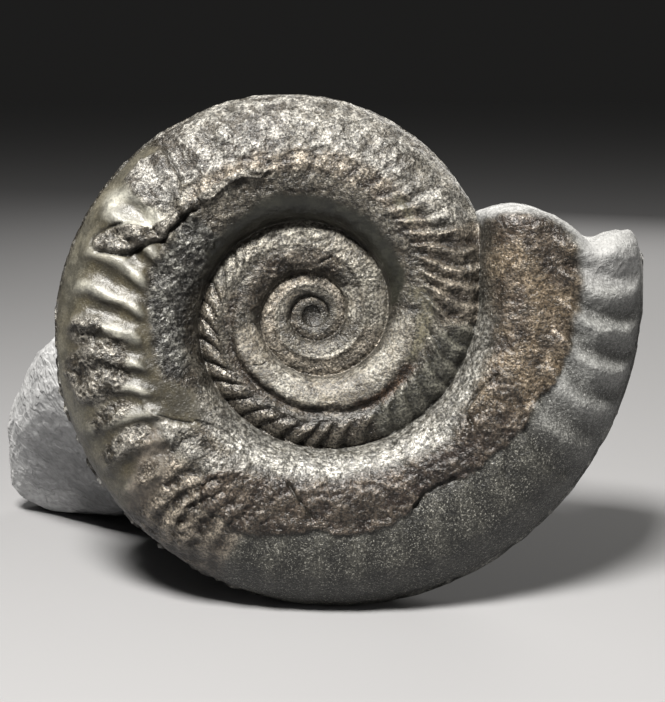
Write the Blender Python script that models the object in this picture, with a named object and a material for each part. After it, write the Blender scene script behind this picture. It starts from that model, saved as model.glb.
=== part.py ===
"""A ribbed, keeled ammonite fossil that stands on its rim, propped by the lump of rock on its back.

Millimetres are turned into metres with MM. +X is to the right, +Z up, and the shown flank faces -Y.
The coil grows anticlockwise, seen from the front. Growth angles are in degrees: 0 points right,
the last whorl runs from 0 to about 375 and the inner whorls have negative angles.
"""
import math

import bmesh
import bpy
import numpy as np
from mathutils import Vector, noise

MM = 0.001

# Stance: the coil leans back and touches the ground with its keel
LEAN = math.radians(10)
COIL_X = -4.7 * MM
COIL_Y = 10.7 * MM
COIL_RISE = 63.2 * MM
FLOOR_DEPTH = 30 * MM

# Coil: keel radius at each quarter turn, from FIRST_ANGLE on
TURN = 360
FIRST_ANGLE = -1080
KEEL_RADII = (3.5, 4.3, 5.4, 6.5, 7.8, 10.0, 12.5, 14.8, 18.1, 22.1, 27.0, 31.9, 39.2, 48.1, 57.1,
              65.0, 72.9, 85.0)
COLUMN_STEP = 2
LAST_ANGLE = 392
OPEN_ANGLE = LAST_ANGLE - TURN

# Whorl section: share of the whorl's height against share of its half thickness
THICK_RATIO = 0.228
THICK_RATIO_LAST = 0.2
FLANK_ROWS = (0.0, 0.035, 0.09, 0.17, 0.27, 0.36, 0.42, 0.48, 0.57, 0.68, 0.79, 0.88)
FLANK_SHAPE = (0.42, 0.62, 0.78, 0.90, 0.975, 1.0, 1.0, 1.0, 0.99, 0.945, 0.85, 0.68)
KEEL_ROWS = (0.92, 0.958, 0.972, 0.953, 0.972, 1.0)
KEEL_SHAPE = (0.54, 0.37, 0.26, 0.15, 0.085, 0.0)
WORN_ROWS = (0.92, 0.962, 0.982, 0.988, 0.993, 0.997)
WORN_ANGLE = 274
WORN_REACH = (8, 20)
THIN_ANGLES = (60, 370)

# The seam lies on the keel side of the whorl inside it, and climbs onto its keel near the broken end
SEAM_RATIO = 0.912
SEAM_RATIO_END = 0.985
CLIMB_START = 372
CLIMB_BACK = 20
FIRST_SEAM_RATIO = 0.4
LOWEST_COVER = 0.82
CLIMB_COVER = (0.9, 0.985)
CLIMB_SEAM_LOSS = 0.55
CLIMB_KEEL_LOSS = 0.65
FULL_HALF_THICKNESS = 12

# Groove along the flank: its place in the section, half width, depth in millimetres, and how much
# deeper than that it is on the shown flank at each growth angle
GROOVE_PLACE = 0.42
GROOVE_WIDTH = 0.055
GROOVE_DEPTH = 0.95
GROOVE_START = (-900, -500)
GROOVE_DEEPER = ((-1080, 1.0), (-200, 1.0), (-145, 2.1), (-75, 2.1), (-25, 1.0), (400, 1.0))
GROOVE_FADE = (250, 330)
GROOVE_LOSS = 0.7

# Ribs: growth angle of a few ribs, by their number, where they cross RIB_MARK of the whorl's height
RIB_NUMBERS = ((-1080, -56), (-720, -16), (-342, 25), (-287, 30), (-205, 38), (-154.5, 43), (-113, 47),
               (-76, 51), (-46, 54), (-12, 58), (24, 63), (59, 68), (98.5, 73), (145, 78), (183, 82),
               (216, 86), (231.5, 88), (246, 91), (271.5, 94), (326, 100), (350, 103), (372, 106),
               (400, 109.5))
RIB_HEIGHTS = ((-1080, 0.10), (-540, 0.25), (-360, 0.6), (-90, 0.9), (20, 0.75), (60, 0.5), (110, 0.7),
               (140, 1.25), (225, 1.25), (250, 0.45), (320, 0.5), (340, 1.1), (365, 1.1), (392, 0.5))
RIB_MARK = 0.65
RIB_BEND = ((-1080, 75), (-300, 90), (-100, 75), (0, 55), (60, 45), (400, 45))
RIB_MIDDLE = ((-1080, 0.9), (-60, 0.9), (60, 0.8), (400, 0.8))
RIB_NARROWING = 0.1
RIB_NARROWING_END = (225, 260)
RIB_START = (0.40, 0.52)
RIB_REACH = 0.81
RIB_REACH_LAST = 0.87
RIB_REACH_ANGLES = (300, 330)
RIB_FADE = 0.13
RIB_SHARPNESS = 1.2
RIB_SINK = 0.35
FLANK_START = (0.02, 0.12)
FLANK_END = (0.90, 0.97)

# Broken end: growth angle of its edge at each share of the whorl's height
END_EDGE = ((0.0, 392.0), (0.1, 390.4), (0.32, 386.2), (0.48, 381.5), (0.57, 378.0), (0.65, 374.6),
            (0.75, 374.9), (0.86, 375.2), (0.94, 374.2), (1.0, 370.0))
WARP_START = 340
END_ROUND = 4.5
END_THIN = 0.55
END_BULGE = 1.3
END_SWELL_ACROSS = 0.6
END_SWELL_UP = 0.8
END_ROUGH = 0.9
END_ROUGH_SIZE = 5
END_ARCH_FADE = 6

# Outer sheet of shell still on the front, with its inner and outer edge radius in millimetres
SHEET_INNER = ((245, 36.5), (262, 35.0), (294, 36.3), (318, 39.0), (339, 40.5), (361, 41.0),
               (371, 42.0), (379, 43.5), (392, 45.0))
SHEET_OUTER = ((240, 48.5), (250, 53.5), (263, 48.0), (279, 48.2), (304, 45.0), (325, 48.8),
               (336, 51.0), (343, 53.5), (352, 54.0), (362, 57.2), (372, 59.0), (392, 60.0))
SHEET_START = 238
SHEET_THICKNESS = 0.8
SHEET_BEVEL = 0.6

# Weathering lumps
LUMP_HEIGHT = 0.35
LUMP_SIZE = 8.0
KEEL_CHIP = 0.4
CHIP_SIZE = 4.0
CHIP_START = 0.985

# Triangle budget
AMMONITE_TRIANGLES = 7850

# Rock on the back, as the corners of the lump before it is rounded, in millimetres
ROCK_CORNERS = (
    (-67, 24, 57), (-73, 38, 51), (-79, 50, 37), (-91, 64, 14), (-90, 65, 3),
    (-80, 64, -3), (-65.5, 22, 47), (-65.5, 36, 26), (-66.5, 46, 12), (-69.5, 61, -3),
    (-36, 62, -3), (0, 58, -3), (4, 67, -3), (-32, 77, -3), (-70, 76, -3),
    (-71, 70, 27), (-60, 48, 53), (-38, 50, 56), (-10, 46, 46), (6, 54, 20), (10, 36, 34),
    (-53, 16, 62), (-22, 14, 62), (6, 12, 46), (14, 10, 30), (-26, 8, 24), (2, 8, 24))
ROCK_CUTS = 4
ROCK_SMOOTHING = 4
ROCK_LUMP = 1.5
ROCK_LUMP_SIZE = 17.0
ROCK_WEAR = 0.4
SEED_LUMPS, SEED_CHIPS, SEED_ROCK = 3, 9, 21

# Room between the rock and the fossil, in millimetres, and how much more there is near the seams
GAP = 0.9
SEAM_GAP = 0.8
SEAM_GAP_ROWS = (0.09, 0.27, 0.79, 0.88)

SHARP_ANGLE = math.radians(40)
FLOOR_SPREAD = 0.4

STONE = {"ammonite": ((0.105, 0.092, 0.072, 1), 0.42), "matrix_rock": ((0.27, 0.27, 0.265, 1), 0.9)}


def clear_scene():
    for item in list(bpy.data.objects):
        bpy.data.objects.remove(item)


def smooth_curve(x, xs, ys):
    """A smooth line through the points (xs, ys), with the slope at each from its neighbours."""
    xs, ys = np.asarray(xs, float), np.asarray(ys, float)
    slopes = np.gradient(ys, xs)
    x = np.clip(x, xs[0], xs[-1])
    i = np.clip(np.searchsorted(xs, x, side="right") - 1, 0, len(xs) - 2)
    width = xs[i + 1] - xs[i]
    u = (x - xs[i]) / width
    return (ys[i] * (1 + 2 * u) * (1 - u) ** 2 + slopes[i] * width * u * (1 - u) ** 2
            + ys[i + 1] * u * u * (3 - 2 * u) - slopes[i + 1] * width * u * u * (1 - u))


def through(x, pairs):
    return smooth_curve(x, [p[0] for p in pairs], [p[1] for p in pairs])


def fade(x, low, high):
    """0 below low, 1 above high, with a soft step between them."""
    u = np.clip((x - low) / (high - low), 0, 1)
    return u * u * (3 - 2 * u)


def bumps(points, size, seed):
    """Smooth noise between about -1 and 1 at each point."""
    shift = Vector((seed * 7.3, seed * 3.1, seed * 5.7))
    return np.array([noise.fractal(Vector(p) / size + shift, 1.0, 2.0, 3) for p in points])


def keel_radius(t):
    angles = FIRST_ANGLE + 90 * np.arange(len(KEEL_RADII))
    return smooth_curve(t, angles, KEEL_RADII)


def seam_radius(t):
    climb = fade(t, CLIMB_START, LAST_ANGLE) * (1 - fade(t, LAST_ANGLE, LAST_ANGLE + CLIMB_BACK))
    ratio = SEAM_RATIO + (SEAM_RATIO_END - SEAM_RATIO) * climb
    return np.where(t < FIRST_ANGLE + TURN, FIRST_SEAM_RATIO * keel_radius(t), ratio * keel_radius(t - TURN))


def half_thickness(t):
    ratio = THICK_RATIO + (THICK_RATIO_LAST - THICK_RATIO) * fade(t, *THIN_ANGLES)
    return ratio * keel_radius(t)


def rib_wave(t, s):
    """1 on a rib's crest, 0 between two ribs; the ribs bend forward, their crests narrower than the gaps."""
    middle = through(t, RIB_MIDDLE)
    bend = through(t, RIB_BEND) * ((s - middle) ** 2 - (RIB_MARK - middle) ** 2)
    number = through(t - bend, RIB_NUMBERS)
    narrowing = RIB_NARROWING * (1 - fade(t, *RIB_NARROWING_END)) * np.sin(2 * math.pi * number)
    wave = 0.5 + 0.5 * np.cos(2 * math.pi * (number + narrowing))
    to_keel = RIB_REACH + (RIB_REACH_LAST - RIB_REACH) * fade(t, *RIB_REACH_ANGLES)
    reach = fade(s, *RIB_START) * (1 - fade(s, to_keel, to_keel + RIB_FADE))
    return wave ** RIB_SHARPNESS * reach


def sheet_height(t, r):
    inner, outer = through(t, SHEET_INNER), through(t, SHEET_OUTER)
    inside = np.minimum(r - inner, outer - r)
    return SHEET_THICKNESS * fade(inside, 0, SHEET_BEVEL) * fade(t, SHEET_START, SHEET_START + 2)


def surface(t, s, shape, side):
    """Radius and height off the coil's middle plane, in millimetres, of points on one flank."""
    top, seam = keel_radius(t), seam_radius(t)
    r = seam + s * (top - seam)
    half = half_thickness(t)
    scale = np.clip(half / FULL_HALF_THICKNESS, 0.2, 1.0)
    flank = fade(s, *FLANK_START) * (1 - fade(s, *FLANK_END))
    groove = np.exp(-((s - GROOVE_PLACE) / GROOVE_WIDTH) ** 2) * (1 - GROOVE_LOSS * fade(t, *GROOVE_FADE))
    groove = groove * fade(t, *GROOVE_START) * (through(t, GROOVE_DEEPER) if side < 0 else 1)
    h = shape * half - GROOVE_DEPTH * scale * groove
    h = h + through(t, RIB_HEIGHTS) * (rib_wave(t, s) - RIB_SINK * fade(s, *RIB_START)) * flank
    angle = np.radians(t)
    points = np.stack([r * np.cos(angle), side * h, r * np.sin(angle)], axis=-1).reshape(-1, 3)
    h = h + LUMP_HEIGHT * scale * flank * bumps(points, LUMP_SIZE, SEED_LUMPS + side).reshape(h.shape)
    chip = np.abs(bumps(points, CHIP_SIZE, SEED_CHIPS)).reshape(h.shape)
    r = r - KEEL_CHIP * chip * fade(s, CHIP_START, 1.0) * (t > OPEN_ANGLE)
    if side < 0:
        h = h + sheet_height(t, r)
    return r, h


def section_rows(angles):
    """Place in the whorl's height and share of its half thickness of every row, for each column."""
    flank_s, keel_s = np.array(FLANK_ROWS), np.array(KEEL_ROWS)
    cover = (seam_radius(angles + TURN) - seam_radius(angles)) / (keel_radius(angles) - seam_radius(angles))
    cover = np.clip(cover, LOWEST_COVER, SEAM_RATIO_END)[:, None]
    worn = 1 - fade(np.abs(angles - WORN_ANGLE), *WORN_REACH)[:, None]
    rest = (keel_s + (np.array(WORN_ROWS) - keel_s) * worn - flank_s[-1]) / (1 - flank_s[-1])
    flank_part = flank_s / flank_s[-1] * cover
    rising = 3
    shape_part = np.interp(flank_part, FLANK_ROWS + KEEL_ROWS[:rising], FLANK_SHAPE + KEEL_SHAPE[:rising])
    climbed = fade(cover, *CLIMB_COVER)
    shape_part[:, -1:] = FLANK_SHAPE[-1] * (1 - CLIMB_SEAM_LOSS * climbed)
    s = np.hstack([flank_part, cover + rest * (1 - cover)])
    shape = np.hstack([shape_part, np.array(KEEL_SHAPE) * (1 - CLIMB_KEEL_LOSS * climbed)])
    return s, shape


def coil_columns(side, offset):
    """Growth angle, radius and height of the grid of one side: columns along the coil, rows across it."""
    angles = np.arange(FIRST_ANGLE, LAST_ANGLE + 1, COLUMN_STEP)
    s, shape = section_rows(angles)
    end = through(s, END_EDGE)
    t = np.broadcast_to(angles[:, None], s.shape).astype(float)
    near_end = t > WARP_START
    t = np.where(near_end, WARP_START + (t - WARP_START) / (LAST_ANGLE - WARP_START) * (end - WARP_START), t)
    r, h = surface(t, s, shape, side)
    rim = np.radians(np.clip(end - t, 0, None)) * r
    rounding = np.sqrt(1 - (1 - np.clip(rim / END_ROUND, 0, 1)) ** 2)
    h = h * np.where(near_end, END_THIN + (1 - END_THIN) * rounding, 1)
    wall_low, wall_high, seam_low, seam_high = SEAM_GAP_ROWS
    near_seam = 1 - fade(s, wall_low, wall_high) + fade(s, seam_low, seam_high)
    rise = (offset + (SEAM_GAP * near_seam if offset else 0)) * (h > 0)
    return t, r + offset * fade(s, seam_low, 1.0), np.maximum(h, 0) + rise


def to_point(t, r, h):
    angle = math.radians(t)
    return Vector((r * math.cos(angle), h, r * math.sin(angle))) * MM


class CoilMesh:
    """Collects the vertices and faces of the whole coil, front and back."""

    def __init__(self, offset):
        self.mesh = bmesh.new()
        self.rows = len(FLANK_ROWS)
        self.keel_rows = len(KEEL_ROWS)
        self.turn_columns = TURN // COLUMN_STEP
        self.columns = (LAST_ANGLE - FIRST_ANGLE) // COLUMN_STEP + 1
        self.open_column = (OPEN_ANGLE - FIRST_ANGLE) // COLUMN_STEP
        self.offset = offset
        self.shared_keel = {}
        self.sides = {side: self.build_side(side) for side in (-1, 1)}
        self.close_centre()
        self.close_end()
        bmesh.ops.recalc_face_normals(self.mesh, faces=self.mesh.faces)

    def build_side(self, side):
        t, r, h = coil_columns(side, self.offset)
        grid = [[None] * (self.rows + self.keel_rows) for _ in range(self.columns)]
        for i in range(self.columns):
            exposed = i >= self.open_column
            for j in range(self.rows + (self.keel_rows if exposed else 0)):
                if j == 0 and i >= self.turn_columns:
                    grid[i][0] = grid[i - self.turn_columns][self.rows - 1]
                    continue
                if j == self.rows + self.keel_rows - 1 and i in self.shared_keel:
                    grid[i][j] = self.shared_keel[i]
                    continue
                grid[i][j] = self.mesh.verts.new(to_point(t[i, j], r[i, j], side * h[i, j]))
                if j == self.rows + self.keel_rows - 1:
                    self.shared_keel[i] = grid[i][j]
        for i in range(self.columns - 1):
            last_row = self.rows - 1 + (self.keel_rows if i >= self.open_column else 0)
            for j in range(last_row):
                self.mesh.faces.new((grid[i][j], grid[i + 1][j], grid[i + 1][j + 1], grid[i][j + 1]))
        return grid

    def close_centre(self):
        """The first chamber: a low cone closes the start of the spiral on each side."""
        for grid in self.sides.values():
            ring = [grid[i][0] for i in range(self.turn_columns)]
            ring += [grid[0][j] for j in range(self.rows - 1, 0, -1)]
            middle = self.mesh.verts.new(sum((v.co for v in ring), Vector()) / len(ring))
            for a, b in zip(ring, ring[1:] + ring[:1]):
                self.mesh.faces.new((a, b, middle))

    def end_row(self, j):
        """Vertices across the broken end at one row, from the front to the back."""
        front, back = self.sides[-1], self.sides[1]
        if j == 0:
            i, top = self.open_column, self.rows + self.keel_rows - 1
            rise = [front[i][k] for k in range(self.rows - 1, top + 1)]
            fall = [back[i][k] for k in range(top - 1, self.rows - 2, -1)]
            return rise + fall
        count = 2 * self.keel_rows
        a, b = front[-1][j], back[-1][j]
        share = (FLANK_ROWS + KEEL_ROWS)[j]
        tilt = math.radians(OPEN_ANGLE)
        outward = Vector((-math.sin(tilt), 0, math.cos(tilt)))
        arch = self.end_row(0)
        made = []
        for k in range(1, count):
            q = k / count
            base = a.co.lerp(b.co, q)
            bend = (arch[k].co - arch[0].co.lerp(arch[-1].co, q)) * (1 - share) ** END_ARCH_FADE
            swell = math.sin(math.pi * q) ** END_SWELL_ACROSS * math.sin(math.pi * share ** END_SWELL_UP)
            rough = END_ROUGH * noise.noise(base / MM / END_ROUGH_SIZE)
            made.append(self.mesh.verts.new(base + bend + outward * swell * (END_BULGE + rough) * MM))
        return [a] + made + [b]

    def close_end(self):
        """The broken end: strips across the whorl, from the whorl inside it out to the keel."""
        tip = self.sides[-1][self.columns - 1][self.rows + self.keel_rows - 1]
        previous = self.end_row(0)
        for j in range(1, self.rows + self.keel_rows - 1):
            row = self.end_row(j)
            for k in range(len(row) - 1):
                self.mesh.faces.new((previous[k], previous[k + 1], row[k + 1], row[k]))
            previous = row
        for k in range(len(previous) - 1):
            self.mesh.faces.new((previous[k], previous[k + 1], tip))


def new_object(name, bm):
    data = bpy.data.meshes.new(name)
    bm.to_mesh(data)
    bm.free()
    item = bpy.data.objects.new(name, data)
    bpy.context.scene.collection.objects.link(item)
    return item


def stand_on_keel(item):
    item.rotation_euler = (-LEAN, 0, 0)
    item.location = (COIL_X, COIL_Y, COIL_RISE)


def hide_as_cutter(item):
    item.hide_render = True
    item.display_type = "WIRE"


def paint(item, name):
    colour, roughness = STONE[name]
    material = bpy.data.materials.new(name)
    material.use_nodes = True
    shader = material.node_tree.nodes["Principled BSDF"]
    shader.inputs["Base Color"].default_value = colour
    shader.inputs["Roughness"].default_value = roughness
    shader.inputs["Metallic"].default_value = 0
    item.data.materials.append(material)


def cut_by(item, cutter):
    cut = item.modifiers.new("cut by " + cutter.name, "BOOLEAN")
    cut.operation = "DIFFERENCE"
    cut.solver = "EXACT"
    cut.object = cutter


def thin_out(item, triangles):
    count = sum(len(face.vertices) - 2 for face in item.data.polygons)
    thin = item.modifiers.new("fewer faces", "DECIMATE")
    thin.ratio = min(1.0, triangles / count)


def make_floor_cutter():
    """A block whose top is the ground; what the fossil would sink into it is cut off flat."""
    bm = bmesh.new()
    bmesh.ops.create_cube(bm, size=1)
    for v in bm.verts:
        v.co = Vector((v.co.x * FLOOR_SPREAD, v.co.y * FLOOR_SPREAD, (v.co.z - 0.5) * FLOOR_DEPTH))
    floor = new_object("floor_cutter", bm)
    hide_as_cutter(floor)
    return floor


def make_ammonite(floor):
    item = new_object("ammonite", CoilMesh(0.0).mesh)
    stand_on_keel(item)
    paint(item, "ammonite")
    thin_out(item, AMMONITE_TRIANGLES)
    cut_by(item, floor)
    return item


def make_coil_cutter():
    item = new_object("coil_cutter", CoilMesh(GAP).mesh)
    stand_on_keel(item)
    thin_out(item, AMMONITE_TRIANGLES)
    hide_as_cutter(item)
    return item


def make_rock(coil, floor):
    bm = bmesh.new()
    for corner in ROCK_CORNERS:
        bm.verts.new(Vector(corner) * MM)
    hull = bmesh.ops.convex_hull(bm, input=bm.verts)
    unused = [g for g in hull["geom_interior"] if isinstance(g, bmesh.types.BMVert)]
    bmesh.ops.delete(bm, geom=unused, context="VERTS")
    bmesh.ops.triangulate(bm, faces=bm.faces)
    bmesh.ops.subdivide_edges(bm, edges=bm.edges, cuts=ROCK_CUTS, use_grid_fill=True)
    bmesh.ops.triangulate(bm, faces=bm.faces)
    for _ in range(ROCK_SMOOTHING):
        bmesh.ops.smooth_vert(bm, verts=bm.verts, factor=0.5, use_axis_x=True, use_axis_y=True,
                              use_axis_z=True)
    if bm.calc_volume(signed=True) < 0:
        bmesh.ops.reverse_faces(bm, faces=bm.faces)
    bm.normal_update()
    lumps = bumps([v.co / MM for v in bm.verts], ROCK_LUMP_SIZE, SEED_ROCK)
    for v, lump in zip(bm.verts, lumps):
        v.co += v.normal * (ROCK_LUMP * lump - ROCK_WEAR) * MM
    rock = new_object("matrix_rock", bm)
    paint(rock, "matrix_rock")
    cut_by(rock, floor)
    cut_by(rock, coil)
    return rock


def main():
    clear_scene()
    floor = make_floor_cutter()
    ammonite = make_ammonite(floor)
    rock = make_rock(make_coil_cutter(), floor)
    for item in (ammonite, rock):
        item.data.shade_smooth()
        item.data.set_sharp_from_angle(angle=SHARP_ANGLE)


main()
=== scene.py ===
"""The finished look of the ammonite and its rock: fine shell relief, stone finishes, floor and light.

A place on the coil is given by its growth angle in degrees and its share of the whorl's height. The angle
is 0 to the right and grows anticlockwise: the last whorl runs from 0 to 392, the whorls inside it have
negative angles. The share is 0 at the seam with the whorl inside it and 1 at the keel.
"""
import math

import bmesh
import bpy
import numpy as np
from mathutils import Euler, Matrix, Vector


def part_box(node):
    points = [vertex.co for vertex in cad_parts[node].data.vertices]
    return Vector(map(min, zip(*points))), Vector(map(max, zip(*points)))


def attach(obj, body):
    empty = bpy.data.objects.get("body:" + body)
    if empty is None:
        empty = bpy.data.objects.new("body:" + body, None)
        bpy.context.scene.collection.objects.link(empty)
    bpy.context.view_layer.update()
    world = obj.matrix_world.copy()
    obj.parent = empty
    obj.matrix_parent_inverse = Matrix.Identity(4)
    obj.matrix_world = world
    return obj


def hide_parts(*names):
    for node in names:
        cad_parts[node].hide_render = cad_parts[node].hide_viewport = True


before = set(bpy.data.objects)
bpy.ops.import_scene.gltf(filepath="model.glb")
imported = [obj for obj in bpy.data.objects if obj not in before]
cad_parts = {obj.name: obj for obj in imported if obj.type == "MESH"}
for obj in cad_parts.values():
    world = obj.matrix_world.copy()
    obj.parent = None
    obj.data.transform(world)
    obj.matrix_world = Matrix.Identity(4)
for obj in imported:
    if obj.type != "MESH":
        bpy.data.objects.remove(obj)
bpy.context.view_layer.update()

MM = 0.001

# Camera: where the middle of the coil lies in the picture, in pixels, and the picture's scale there
IMAGE_SIZE = (665, 702)
COIL_PIXEL = (313, 314)
PIXEL_MM = 0.2215
CAMERA_DISTANCE = 0.300
CAMERA_PITCH = math.radians(12)
FOCAL_PIXELS = CAMERA_DISTANCE / (PIXEL_MM * MM)
SENSOR_WIDTH = 36

LIGHT_COLOUR = (1.0, 0.975, 0.93)

# Stance of the coil
LEAN = math.radians(10)
COIL_PLACE = (-4.7 * MM, 10.7 * MM, 63.2 * MM)

# Coil: keel radius in millimetres at each quarter turn, from FIRST_ANGLE on
TURN = 360
FIRST_ANGLE = -1080
KEEL_RADII = (3.5, 4.3, 5.4, 6.5, 7.8, 10.0, 12.5, 14.8, 18.1, 22.1, 27.0, 31.9, 39.2, 48.1, 57.1,
              65.0, 72.9, 85.0)
LAST_ANGLE = 392
OPEN_ANGLE = LAST_ANGLE - TURN

# Whorl section: share of the whorl's height against share of its half thickness
THICK_RATIO = 0.228
THICK_RATIO_LAST = 0.2
THIN_ANGLES = (60, 370)
FLANK_ROWS = (0.0, 0.035, 0.09, 0.17, 0.27, 0.36, 0.42, 0.48, 0.57, 0.68, 0.79, 0.88)
FLANK_SHAPE = (0.42, 0.62, 0.78, 0.90, 0.975, 1.0, 1.0, 1.0, 0.99, 0.945, 0.85, 0.68)
KEEL_ROWS = (0.92, 0.958, 0.972, 0.953, 0.972, 1.0)
KEEL_SHAPE = (0.54, 0.37, 0.26, 0.15, 0.085, 0.0)
WORN_ROWS = (0.92, 0.962, 0.982, 0.988, 0.993, 0.997)
WORN_ANGLE = 274
WORN_REACH = (8, 20)
SEAM_RATIO = 0.912
SEAM_RATIO_END = 0.985
CLIMB_START = 372
CLIMB_BACK = 20
FIRST_SEAM_RATIO = 0.4
LOWEST_COVER = 0.82
CLIMB_COVER = (0.9, 0.985)
CLIMB_LOSS = 0.55
CLIMB_ROWS = (0.75, 1.0)
FULL_HALF_THICKNESS = 12
SMALLEST_SCALE = 0.2

# Groove and ribs
GROOVE_PLACE = 0.42
GROOVE_WIDTH = 0.055
GROOVE_DEPTH = 0.95
GROOVE_START = (-900, -500)
GROOVE_FADE = (250, 330)
GROOVE_LOSS = 0.7
GROOVE_DEEPER = ((-1080, 1.0), (-200, 1.0), (-150, 2.3), (-75, 2.3), (-25, 1.0), (400, 1.0))
RIB_NUMBERS = ((-1080, -56), (-720, -16), (-342, 25), (-287, 30), (-205, 38), (-154.5, 43), (-113, 47),
               (-76, 51), (-46, 54), (-12, 58), (24, 63), (59, 68), (98.5, 73), (145, 78), (183, 82),
               (216, 86), (231.5, 88), (246, 91), (271.5, 94), (326, 100), (350, 103), (372, 106),
               (400, 109.5))
RIB_HEIGHTS = ((-1080, 0.02), (-480, 0.03), (-370, 0.08), (-330, 0.20), (-240, 0.25), (-205, 0.8),
               (-150, 1.2), (-100, 1.2), (-70, 0.8), (-20, 0.8), (5, 1.2), (25, 1.1), (45, 0.5),
               (110, 0.5), (135, 1.1), (150, 1.5), (190, 1.4), (225, 1.0), (250, 0.5), (320, 0.7),
               (336, 1.4), (346, 2.1), (366, 2.1), (376, 1.0), (392, 0.4))
RIB_MARK = 0.65
RIB_BEND = ((-1080, 75), (-300, 90), (-100, 75), (0, 55), (60, 45), (400, 45))
RIB_MIDDLE = ((-1080, 0.9), (-60, 0.9), (60, 0.8), (400, 0.8))
RIB_LEAN = ((-1080, 0.0), (-380, 0.0), (-200, 0.35), (60, 0.4), (120, 0.25), (210, 0.25), (240, 0.4),
            (300, 0.3), (400, 0.3))
RIB_SHARPNESS = ((-1080, 0.8), (-60, 0.7), (20, 1.1), (120, 1.2), (225, 1.2), (400, 1.0))
RIB_STARTS = ((-1080, 0.40), (-230, 0.42), (-180, 0.48), (-80, 0.50), (-50, 0.42), (400, 0.40))
RIB_RISE = 0.12
RIB_UNEVEN = 0.55
RIB_UNEVEN_SIZE = 9
RIB_WANDER = (1.6, 0.04)
WANDER_SIZE = 6
SIDE_APART = 50.0
RIB_REACH = 0.81
RIB_REACH_LAST = 0.87
RIB_REACH_ANGLES = (300, 330)
RIB_FADE = 0.13
RIB_SINK = 0.35
RIB_SINK_ROWS = (0.40, 0.52)
FLANK_START = (0.02, 0.12)
FLANK_END = (0.90, 0.97)

# Broken end
END_EDGE = ((0.0, 392.0), (0.1, 390.4), (0.32, 386.2), (0.48, 381.5), (0.57, 378.0), (0.65, 374.6),
            (0.75, 374.9), (0.86, 375.2), (0.94, 374.2), (1.0, 370.0))
WARP_START = 340
END_ROUND = 4.5
END_THIN = 0.55
END_BULGE = 1.3
END_SWELL_ACROSS = 0.6
END_SWELL_UP = 0.8
END_ROUGH = 0.9
END_ROUGH_SIZE = 5
END_ARCH_FADE = 6

# Fine mesh: degrees between columns, rows for each whorl from the inside, for the front and the back
FINE_STEP = {-1: 0.4, 1: 1.0}
FINE_ROWS = {-1: (14, 28, 60, 112), 1: (8, 14, 26, 48)}
KEEL_FINE_ROWS = {-1: 18, 1: 16}
END_ACROSS = 40
TRIANGLES = 195000
STEP_ALONG = 0.05
STEP_ACROSS = 0.003
KEEL_ROW = 2

# Patches of the shown flank, as outlines of (growth angle, share of the whorl's height)
BROWN_SHEET = ((236, 0.42), (238, 0.50), (241, 0.56), (245, 0.55), (250, 0.60), (255, 0.57), (260, 0.55),
               (263, 0.53), (266, 0.50), (270, 0.47), (277, 0.48), (281, 0.50), (286, 0.49), (290, 0.47),
               (296, 0.45), (299, 0.40), (303, 0.38), (310, 0.39), (313, 0.42), (318, 0.43), (322, 0.43),
               (327, 0.46), (334, 0.47), (340, 0.46), (343, 0.50), (350, 0.52), (357, 0.52), (361, 0.55),
               (368, 0.56), (375, 0.53), (381, 0.44), (386, 0.32), (389, 0.18), (390, 0.06), (380, 0.05),
               (368, 0.07), (355, 0.10), (350, 0.11), (340, 0.13), (330, 0.14), (324, 0.16), (318, 0.20),
               (310, 0.20), (300, 0.165), (290, 0.16), (280, 0.17), (270, 0.17), (265, 0.20), (260, 0.20),
               (252, 0.20), (245, 0.25), (240, 0.30))
TOP_CRUST = ((28, 1.05), (31, 0.80), (36, 0.60), (45, 0.55), (52, 0.50), (62, 0.50), (75, 0.53),
             (90, 0.50), (105, 0.49), (118, 0.47), (128, 0.49), (134.5, 0.55), (133, 0.66), (132.2, 0.80),
             (131.6, 0.88), (131, 1.05))
TONGUE = ((163, 0.72), (161.5, 0.62), (161, 0.55), (158, 0.50), (155.5, 0.46), (153, 0.40), (146, 0.38),
          (140, 0.37), (128, 0.36), (112, 0.35), (104, 0.38), (112, 0.42), (128, 0.41), (142, 0.43),
          (148, 0.46), (152, 0.49), (153.5, 0.58), (155, 0.68), (158, 0.77), (161, 0.82), (163.5, 0.78))
PALE_LUMP = ((133.5, 0.86), (134.5, 0.60), (138, 0.52), (145, 0.50), (146.5, 0.60), (146, 0.75),
             (144, 0.87), (138, 0.90))
LOW_RIDGE = ((205, 0.44), (212, 0.42), (218, 0.42), (225, 0.40), (233, 0.38), (241, 0.36), (247, 0.27),
             (247, 0.17), (242, 0.17), (239, 0.24), (232, 0.28), (224, 0.25), (219, 0.31), (213, 0.37))
WRINKLED = (((181, 0.62), (181, 0.80), (184, 0.85), (187, 0.80), (187, 0.70), (184, 0.60)),
            ((186, 0.55), (188, 0.75), (190, 0.88), (194, 0.90), (197, 0.86), (201, 0.84), (203, 0.72),
             (202, 0.55), (199, 0.48), (193, 0.46), (188, 0.47)),
            ((204, 0.55), (204, 0.72), (206, 0.82), (209, 0.78), (208.5, 0.60), (206.5, 0.50)),
            ((212, 0.50), (211.5, 0.70), (214, 0.86), (217, 0.84), (217, 0.65), (218, 0.50), (215, 0.46)),
            ((221, 0.60), (222, 0.72), (225, 0.74), (226, 0.62), (224, 0.55)),
            ((228, 0.50), (229, 0.75), (233, 0.78), (233, 0.50)),
            ((235, 0.48), (234.5, 0.80), (238, 0.84), (240, 0.90), (243, 0.80), (245, 0.50), (240, 0.44)))
PITTED = ((140, 0.33), (150, 0.34), (156, 0.30), (160, 0.34), (165, 0.36), (170, 0.31), (175, 0.33),
          (185, 0.29), (195, 0.27), (202, 0.26), (207, 0.19), (204, 0.12), (196, 0.10), (188, 0.07),
          (178, 0.08), (165, 0.06), (150, 0.06), (140, 0.08))
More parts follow.
